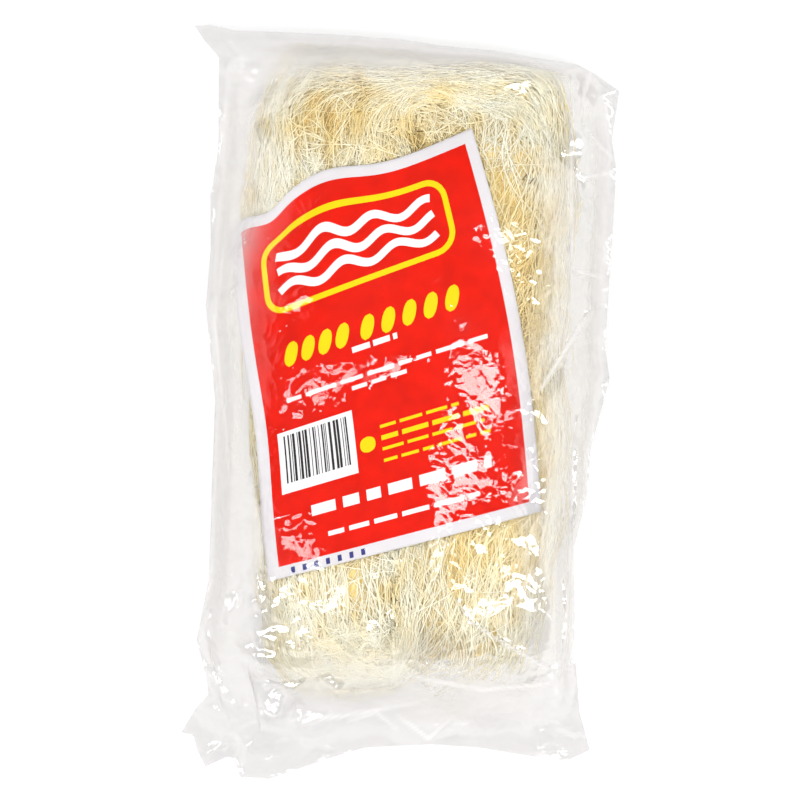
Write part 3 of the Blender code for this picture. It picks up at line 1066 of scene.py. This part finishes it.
def bell(share, rise, place, spread):
    """A bell curve over an edge: its rise at a place, less to both sides of it."""
    return rise * np.exp(-(((share - place) / spread) ** 2))


def label_plan(p, q):
    """Plan points of the label at shares p across it and q along it."""
    straight = straight_patch(p[..., None], q[..., None], LABEL_CORNERS)
    left = bell(q, *LEFT_BEND) * (1 - p) ** 2
    right = RIGHT_BEND * np.sin(math.pi * q) * p**2
    head = sum(bell(p, *values) for values in HEAD_BENDS) * smooth(HEAD_BENDS_FROM, 1, q)
    return straight[..., 0] + left + right, straight[..., 1] + head


# How far the paper dips below the film: all over, in its waves, and in its folds, right and left.
PAPER_DIP = 0.35
WAVE_DIP = 0.4
FOLD_DIP = 0.3
LEFT_FOLD_DIP = 2
PAPER_WAVE = Noise(51)


def label_points(flat_x, flat_y, lift):
    """Places on the flat paper, from its foot left corner, as rows of points on it as it lies."""
    p, q = flat_x / LABEL_WIDE, flat_y / LABEL_LONG
    x, y = label_plan(p, q)
    fold_dip = FOLD_DIP + LEFT_FOLD_DIP * smooth(0.6, 0.15, p)
    dip = PAPER_DIP + WAVE_DIP * PAPER_WAVE(flat_x / 26, flat_y / 34)
    dip = dip + fold_dip * facets(flat_x, flat_y, 26, 52)
    return point_rows(x, y, TOP_MAP(x, y) - LABEL_DEPTH - dip * LABEL_MAP(x, y) + lift)


def add_to_label(name, mesh, finish):
    made = new_object(name, mesh, finish)
    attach(made, "root")
    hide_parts("paper_label")


def resampled(points, closed):
    """Points along a line at most a print cell apart, which keep its corners."""
    line = np.array(points + points[:1] if closed else points, float)
    out = []
    for first, second in zip(line, line[1:]):
        pieces = max(1, math.ceil(math.dist(first, second) / PRINT_CELL))
        out.append(first + np.arange(pieces)[:, None] / pieces * (second - first))
    return np.concatenate(out if closed else [*out, line[-1:]])


def band(points, half, closed=False):
    """A flat strip of print along a line: its flat points, as a grid, and whether it closes."""
    line = resampled(points, closed)
    ahead = np.roll(line, -1, axis=0) - line
    behind = line - np.roll(line, 1, axis=0)
    if not closed:
        ahead[-1], behind[0] = behind[-1], ahead[0]
    ahead, behind = unit(ahead), unit(behind)
    along = unit(ahead + behind)
    mitre = 1 / np.maximum(0.5, (along * ahead).sum(axis=1))
    normal = np.stack([-along[:, 1], along[:, 0]], axis=1) * mitre[:, None]
    cells = max(1, math.ceil(2 * half / PRINT_CELL))
    offsets = np.linspace(half, -half, cells + 1)
    return line[:, None, :] + offsets[None, :, None] * normal[:, None, :], closed


def print_piece(name, bands, level, ink):
    """All the bands of one ink as one thin piece on the paper, one ink step above the one below."""
    points, faces, first = [], [], 0
    for grid, closed in bands:
        points.append(label_points(grid[..., 0], grid[..., 1], level * INK_STEP))
        number = first + numbered(*grid.shape[:2])
        faces.append(quads_between(joined(number, 0) if closed else number))
        first += number.size
    mesh = mesh_from_arrays(name, np.concatenate(points), [np.concatenate(faces)])
    add_to_label(name, mesh, paper_material(*ink))


def rounded_box(x0, y0, x1, y1, radius):
    """Points round a box with round corners, anticlockwise."""
    x0, y0, x1, y1 = x0 + radius, y0 + radius, x1 - radius, y1 - radius
    points = []
    for x, y, start in ((x1, y1, 0), (x0, y1, 90), (x0, y0, 180), (x1, y0, 270)):
        for angle in np.radians(np.linspace(start, start + 90, 7)):
            points.append((x + radius * math.cos(angle), y + radius * math.sin(angle)))
    return points


def field(x0, y0, x1, y1):
    """A plain box of print."""
    return band([((x0 + x1) / 2, y0), ((x0 + x1) / 2, y1)], (x1 - x0) / 2)


def bar(x0, x1, y, height):
    """A plain bar of print from x0 to x1, centred on y."""
    return band([(x0, y), (x1, y)], height / 2)


def dashes(random, lines):
    """Lines of print as plain dashes of uneven length, where the pack has small type."""
    made = []
    for x, last, y, height, mean_length, gap in lines:
        while x < last:
            end = min(last, x + mean_length * random.uniform(0.55, 1.5))
            if end - x > height * 0.6:
                made.append(bar(x, end, y, height))
            x = end + gap
    return made


def grain(cx, cy, long, wide, lean):
    """A rice grain seen from the side: a strip that is widest at its middle."""
    shares = np.linspace(-1, 1, 15)
    axis = np.array([math.sin(lean), math.cos(lean)])
    across = np.array([axis[1], -axis[0]])
    half = wide / 2 * np.sqrt(np.maximum(0, 1 - np.abs(shares) ** 2.4))
    spine = (cx, cy) + shares[:, None] * axis * long / 2
    offsets = np.linspace(-1, 1, 6)
    return spine[:, None, :] + offsets[None, :, None] * half[:, None, None] * across, False


def wavy(x0, x1, y, height, waves, phase):
    """Points along a wave from x0 to x1."""
    shares = np.linspace(0, 1, 60)
    rise = height * np.sin(2 * math.pi * waves * shares + phase)
    return list(zip(x0 + shares * (x1 - x0), y + rise))


PAPER_CELL = 1.4


def make_paper():
    """The paper itself, as a thin closed sheet."""
    columns, rows = int(LABEL_WIDE / PAPER_CELL), int(LABEL_LONG / PAPER_CELL)
    across, along = np.linspace(0, LABEL_WIDE, columns + 1), np.linspace(0, LABEL_LONG, rows + 1)
    upper = label_points(*np.meshgrid(across, along), 0)
    lower = upper - (0, 0, PAPER_THICKNESS)
    count, number = len(upper), numbered(rows + 1, columns + 1)
    rim = np.concatenate([number[0], number[1:, -1], number[-1, -2::-1], number[-2:0:-1, 0]])
    following = np.roll(rim, -1)
    walls = np.stack([rim, rim + count, following + count, following], axis=1)
    faces = [quads_between(number), quads_between(number + count)[:, ::-1], walls]
    mesh = mesh_from_arrays("label_sheet", np.concatenate([upper, lower]), faces)
    finish = paper_material("label_paper_finish", (0.64, 0.622, 0.64), 0.55, 0.03)
    add_to_label("label_sheet", mesh, finish)


# The print in flat label millimetres. A box is given by its foot left and its head right corner.
RED_FIELD = (5, 5, 105.5, 147.5)
FRAME_BOX = (13.5, 111.5, 92, 139)
FRAME_RADIUS = 7.5
FRAME_STROKE = 2.3
WAVE_STROKE = 3
CODE_BOX = (9.2, 35.2, 40.6, 61.6)
CODE_BARS = (0.33, 0.33, 0.66, 0.99)

# Rows of grain shapes: the first one's x, how many, and their pitch.
GRAIN_ROWS = [(20, 4, 7.2), (52, 5, 8.6)]

# Lines of dashes: x from and to, y, height, mean length and gap.
YELLOW_LINES = [
    (51, 82.4, 51.3, 1.3, 7, 1.6), (51, 96, 46.6, 2, 7, 1.6),
    (51, 91.4, 42, 1.3, 7, 1.6), (51, 95, 37.2, 1.3, 7, 1.6),
]
WHITE_LINES = [
    (44.5, 63, 85.4, 2.4, 5, 1.3), (15, 97, 74, 1.7, 9, 1.9), (42, 65, 70.2, 1.7, 8, 1.9),
    (20.4, 92.3, 25, 4.6, 9, 3), (26, 86.6, 13.6, 2, 8, 2),
]


def make_print():
    """A plain generic design in the colours and places of the pack's print, with no lettering."""
    random = np.random.default_rng(61)
    print_piece("print_red", [field(*RED_FIELD)], 1, ("red_ink_finish", (0.66, 0.008, 0.0005), 0.5, 0.15))

    yellow = [band(rounded_box(*FRAME_BOX, FRAME_RADIUS), FRAME_STROKE / 2, closed=True)]
    for start, count, pitch in GRAIN_ROWS:
        yellow += [grain(start + number * pitch, 92.6, 10.5, 5.2, 0.35) for number in range(count)]
    yellow.append(grain(45.4, 45.6, 6.6, 6.2, 0))
    yellow += dashes(random, YELLOW_LINES)
    print_piece("print_yellow", yellow, 2, ("yellow_ink_finish", (0.74, 0.58, 0.004), 0.4, 0.05))

    waves = [wavy(19, 86, 119 + number * 6.2, 1.9, 3, 1.1 * number) for number in range(3)]
    white = [band(wave, WAVE_STROKE / 2) for wave in waves]
    white += dashes(random, WHITE_LINES)
    white.append(field(*CODE_BOX))
    print_piece("print_white", white, 2, ("white_ink_finish", (0.76, 0.76, 0.77), 0.45, 0.02))

    x0, y0, x1, y1 = CODE_BOX
    black, x = [], x0 + 2.4
    while x < x1 - 3:
        wide = random.choice(CODE_BARS)
        black.append(field(x, y0 + 4.2, x + wide, y1 - 1.8))
        x += wide + random.choice(CODE_BARS)
    print_piece("print_code", black, 3, ("black_ink_finish", (0.03, 0.025, 0.025), 0.4, 0.2))

    blue = [bar(9.7 + number * 4.7, 11.3 + number * 4.7, 2.4, 2.6) for number in range(7)]
    print_piece("print_stamp", blue, 2, ("blue_ink_finish", (0.05, 0.06, 0.22), 0.5, 0.3))


# Two burnt flecks among the noodles, x, y and lean each, and how high they lie over the bundle.
SPECKS = [(47.2, 92.3, 1), (50, 90.9, 0.95)]
SPECK_LENGTH = 2.8
SPECK_RADIUS = 0.2
SPECK_LIFT = 0.35
SPECK_STEPS = 8


def make_specks():
    x, y, lean = np.array(SPECKS).T[..., None]
    shares = np.linspace(-0.5, 0.5, SPECK_STEPS)
    x = x + shares * SPECK_LENGTH * np.cos(lean) + 0.3 * shares**2
    y = y + shares * SPECK_LENGTH * np.sin(lean)
    paths = np.stack([x, y, laid_height(x, y, -hollow(x, y) - SPECK_LIFT, True)], axis=-1)
    radii = np.full(len(SPECKS), SPECK_RADIUS)
    tubes("burnt_flecks", paths, radii, np.zeros_like(x), 6, speck_material())


bpy.context.scene.view_settings.view_transform = "Standard"
make_camera()
make_lights()
make_world()
make_floor()
make_core()
noodle_finish = noodle_material()
for family in FAMILIES:
    make_family(noodle_finish, *family)
make_specks()
make_paper()
make_print()
make_film()
